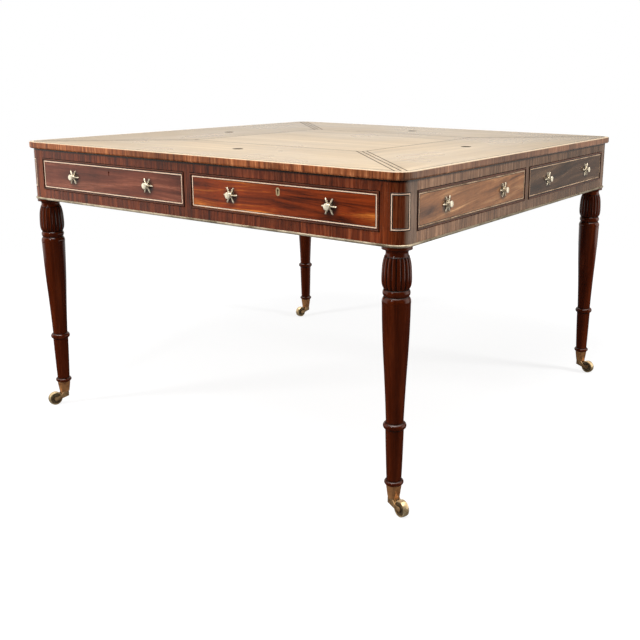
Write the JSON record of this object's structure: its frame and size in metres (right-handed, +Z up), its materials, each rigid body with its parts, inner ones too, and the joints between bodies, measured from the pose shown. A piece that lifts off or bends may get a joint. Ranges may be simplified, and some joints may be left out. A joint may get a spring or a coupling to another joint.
{
  "type": "partners writing table",
  "caption": "Square mahogany partners' writing table with brass strung frieze drawers, star knobs, reeded tapering legs and brass cup castors.",
  "frame": {"origin": "on the floor under the middle of the top", "axes": "+Z up; -Y towards the front pair of drawers; +X along the front to its right"},
  "size_m": [1.2353, 1.235, 0.762],
  "materials": {
    "mahogany": "french polished",
    "faded_mahogany": "sun faded and polished",
    "ebony": "polished",
    "oak": "bare",
    "brass": "aged and rubbed",
    "steel": "dull"
  },
  "bodies": {
    "table": {"top_board": "mahogany", "top_edge_lipping": "mahogany", "top_border_veneers": "faded_mahogany", "top_centre_veneer": "faded_mahogany", "top_ebony_inlay": "ebony", "top_screws": "steel", "front_top_rail": "mahogany", "back_top_rail": "mahogany", "front_bottom_rail": "mahogany", "back_bottom_rail": "mahogany", "centre_stiles": "mahogany", "left_frieze_board": "mahogany", "right_frieze_board": "mahogany", "centre_rail": "oak", "drawer_runners": "oak", "drawer_guides": "oak", "drawer_kickers": "oak", "dummy_drawer_fronts": "mahogany", "dummy_brass_strings": "brass", "dummy_knobs": "brass", "frieze_brass_moulding": "brass", "corner_posts": "mahogany", "corner_brass_strings": "brass", "castor_cups": "brass", "front_right_leg": "mahogany", "back_right_leg": "mahogany", "back_left_leg": "mahogany", "front_left_leg": "mahogany"},
    "front_left_drawer": {"front_left_drawer_front": "mahogany", "front_left_drawer_box": "oak", "front_left_drawer_string": "brass", "front_left_drawer_knobs": "brass", "front_left_drawer_lock": "brass"},
    "front_left_bolt": {"front_left_drawer_bolt": "steel"},
    "front_right_drawer": {"front_right_drawer_front": "mahogany", "front_right_drawer_box": "oak", "front_right_drawer_string": "brass", "front_right_drawer_knobs": "brass", "front_right_drawer_lock": "brass"},
    "front_right_bolt": {"front_right_drawer_bolt": "steel"},
    "back_left_drawer": {"back_left_drawer_front": "mahogany", "back_left_drawer_box": "oak", "back_left_drawer_string": "brass", "back_left_drawer_knobs": "brass", "back_left_drawer_lock": "brass"},
    "back_left_bolt": {"back_left_drawer_bolt": "steel"},
    "back_right_drawer": {"back_right_drawer_front": "mahogany", "back_right_drawer_box": "oak", "back_right_drawer_string": "brass", "back_right_drawer_knobs": "brass", "back_right_drawer_lock": "brass"},
    "back_right_bolt": {"back_right_drawer_bolt": "steel"},
    "front_right_horn": {"front_right_castor_horn": "brass"},
    "front_right_wheel": {"front_right_castor_wheel": "brass"},
    "back_right_horn": {"back_right_castor_horn": "brass"},
    "back_right_wheel": {"back_right_castor_wheel": "brass"},
    "back_left_horn": {"back_left_castor_horn": "brass"},
    "back_left_wheel": {"back_left_castor_wheel": "brass"},
    "front_left_horn": {"front_left_castor_horn": "brass"},
    "front_left_wheel": {"front_left_castor_wheel": "brass"}
  },
  "joints": [
    {"name": "front_left_drawer_slide", "type": "slide", "parent": "table", "child": "front_left_drawer", "axis": [0, -1, 0], "range_m": [0, 0.4]},
    {"name": "front_left_bolt_throw", "type": "slide", "parent": "front_left_drawer", "child": "front_left_bolt", "axis": [0, 0, 1], "range_m": [0, 0.007]},
    {"name": "front_right_drawer_slide", "type": "slide", "parent": "table", "child": "front_right_drawer", "axis": [0, -1, 0], "range_m": [0, 0.4]},
    {"name": "front_right_bolt_throw", "type": "slide", "parent": "front_right_drawer", "child": "front_right_bolt", "axis": [0, 0, 1], "range_m": [0, 0.007]},
    {"name": "back_left_drawer_slide", "type": "slide", "parent": "table", "child": "back_left_drawer", "axis": [0, 1, 0], "range_m": [0, 0.4]},
    {"name": "back_left_bolt_throw", "type": "slide", "parent": "back_left_drawer", "child": "back_left_bolt", "axis": [0, 0, 1], "range_m": [0, 0.007]},
    {"name": "back_right_drawer_slide", "type": "slide", "parent": "table", "child": "back_right_drawer", "axis": [0, 1, 0], "range_m": [0, 0.4]},
    {"name": "back_right_bolt_throw", "type": "slide", "parent": "back_right_drawer", "child": "back_right_bolt", "axis": [0, 0, 1], "range_m": [0, 0.007]},
    {"name": "front_right_castor_swivel", "type": "hinge", "parent": "table", "child": "front_right_horn", "pos_m": [0.5715, -0.5715, 0.0353], "axis": [0, 0, 1], "continuous": true},
    {"name": "front_right_castor_roll", "type": "hinge", "parent": "front_right_horn", "child": "front_right_wheel", "pos_m": [0.59828, -0.58125, 0.019], "axis": [0.342, 0.9397, 0], "continuous": true},
    {"name": "back_right_castor_swivel", "type": "hinge", "parent": "table", "child": "back_right_horn", "pos_m": [0.5715, 0.5715, 0.0353], "axis": [0, 0, 1], "continuous": true},
    {"name": "back_right_castor_roll", "type": "hinge", "parent": "back_right_horn", "child": "back_right_wheel", "pos_m": [0.59938, 0.56558, 0.019], "axis": [0.2079, 0.9781, 0], "continuous": true},
    {"name": "back_left_castor_swivel", "type": "hinge", "parent": "table", "child": "back_left_horn", "pos_m": [-0.5715, 0.5715, 0.0353], "axis": [0, 0, 1], "continuous": true},
    {"name": "back_left_castor_roll", "type": "hinge", "parent": "back_left_horn", "child": "back_left_wheel", "pos_m": [-0.57645, 0.54343, 0.019], "axis": [0.9848, -0.1736, 0], "continuous": true},
    {"name": "front_left_castor_swivel", "type": "hinge", "parent": "table", "child": "front_left_horn", "pos_m": [-0.5715, -0.5715, 0.0353], "axis": [0, 0, 1], "continuous": true},
    {"name": "front_left_castor_roll", "type": "hinge", "parent": "front_left_horn", "child": "front_left_wheel", "pos_m": [-0.57936, -0.5989, 0.019], "axis": [0.9613, -0.2756, 0], "continuous": true}
  ]
}
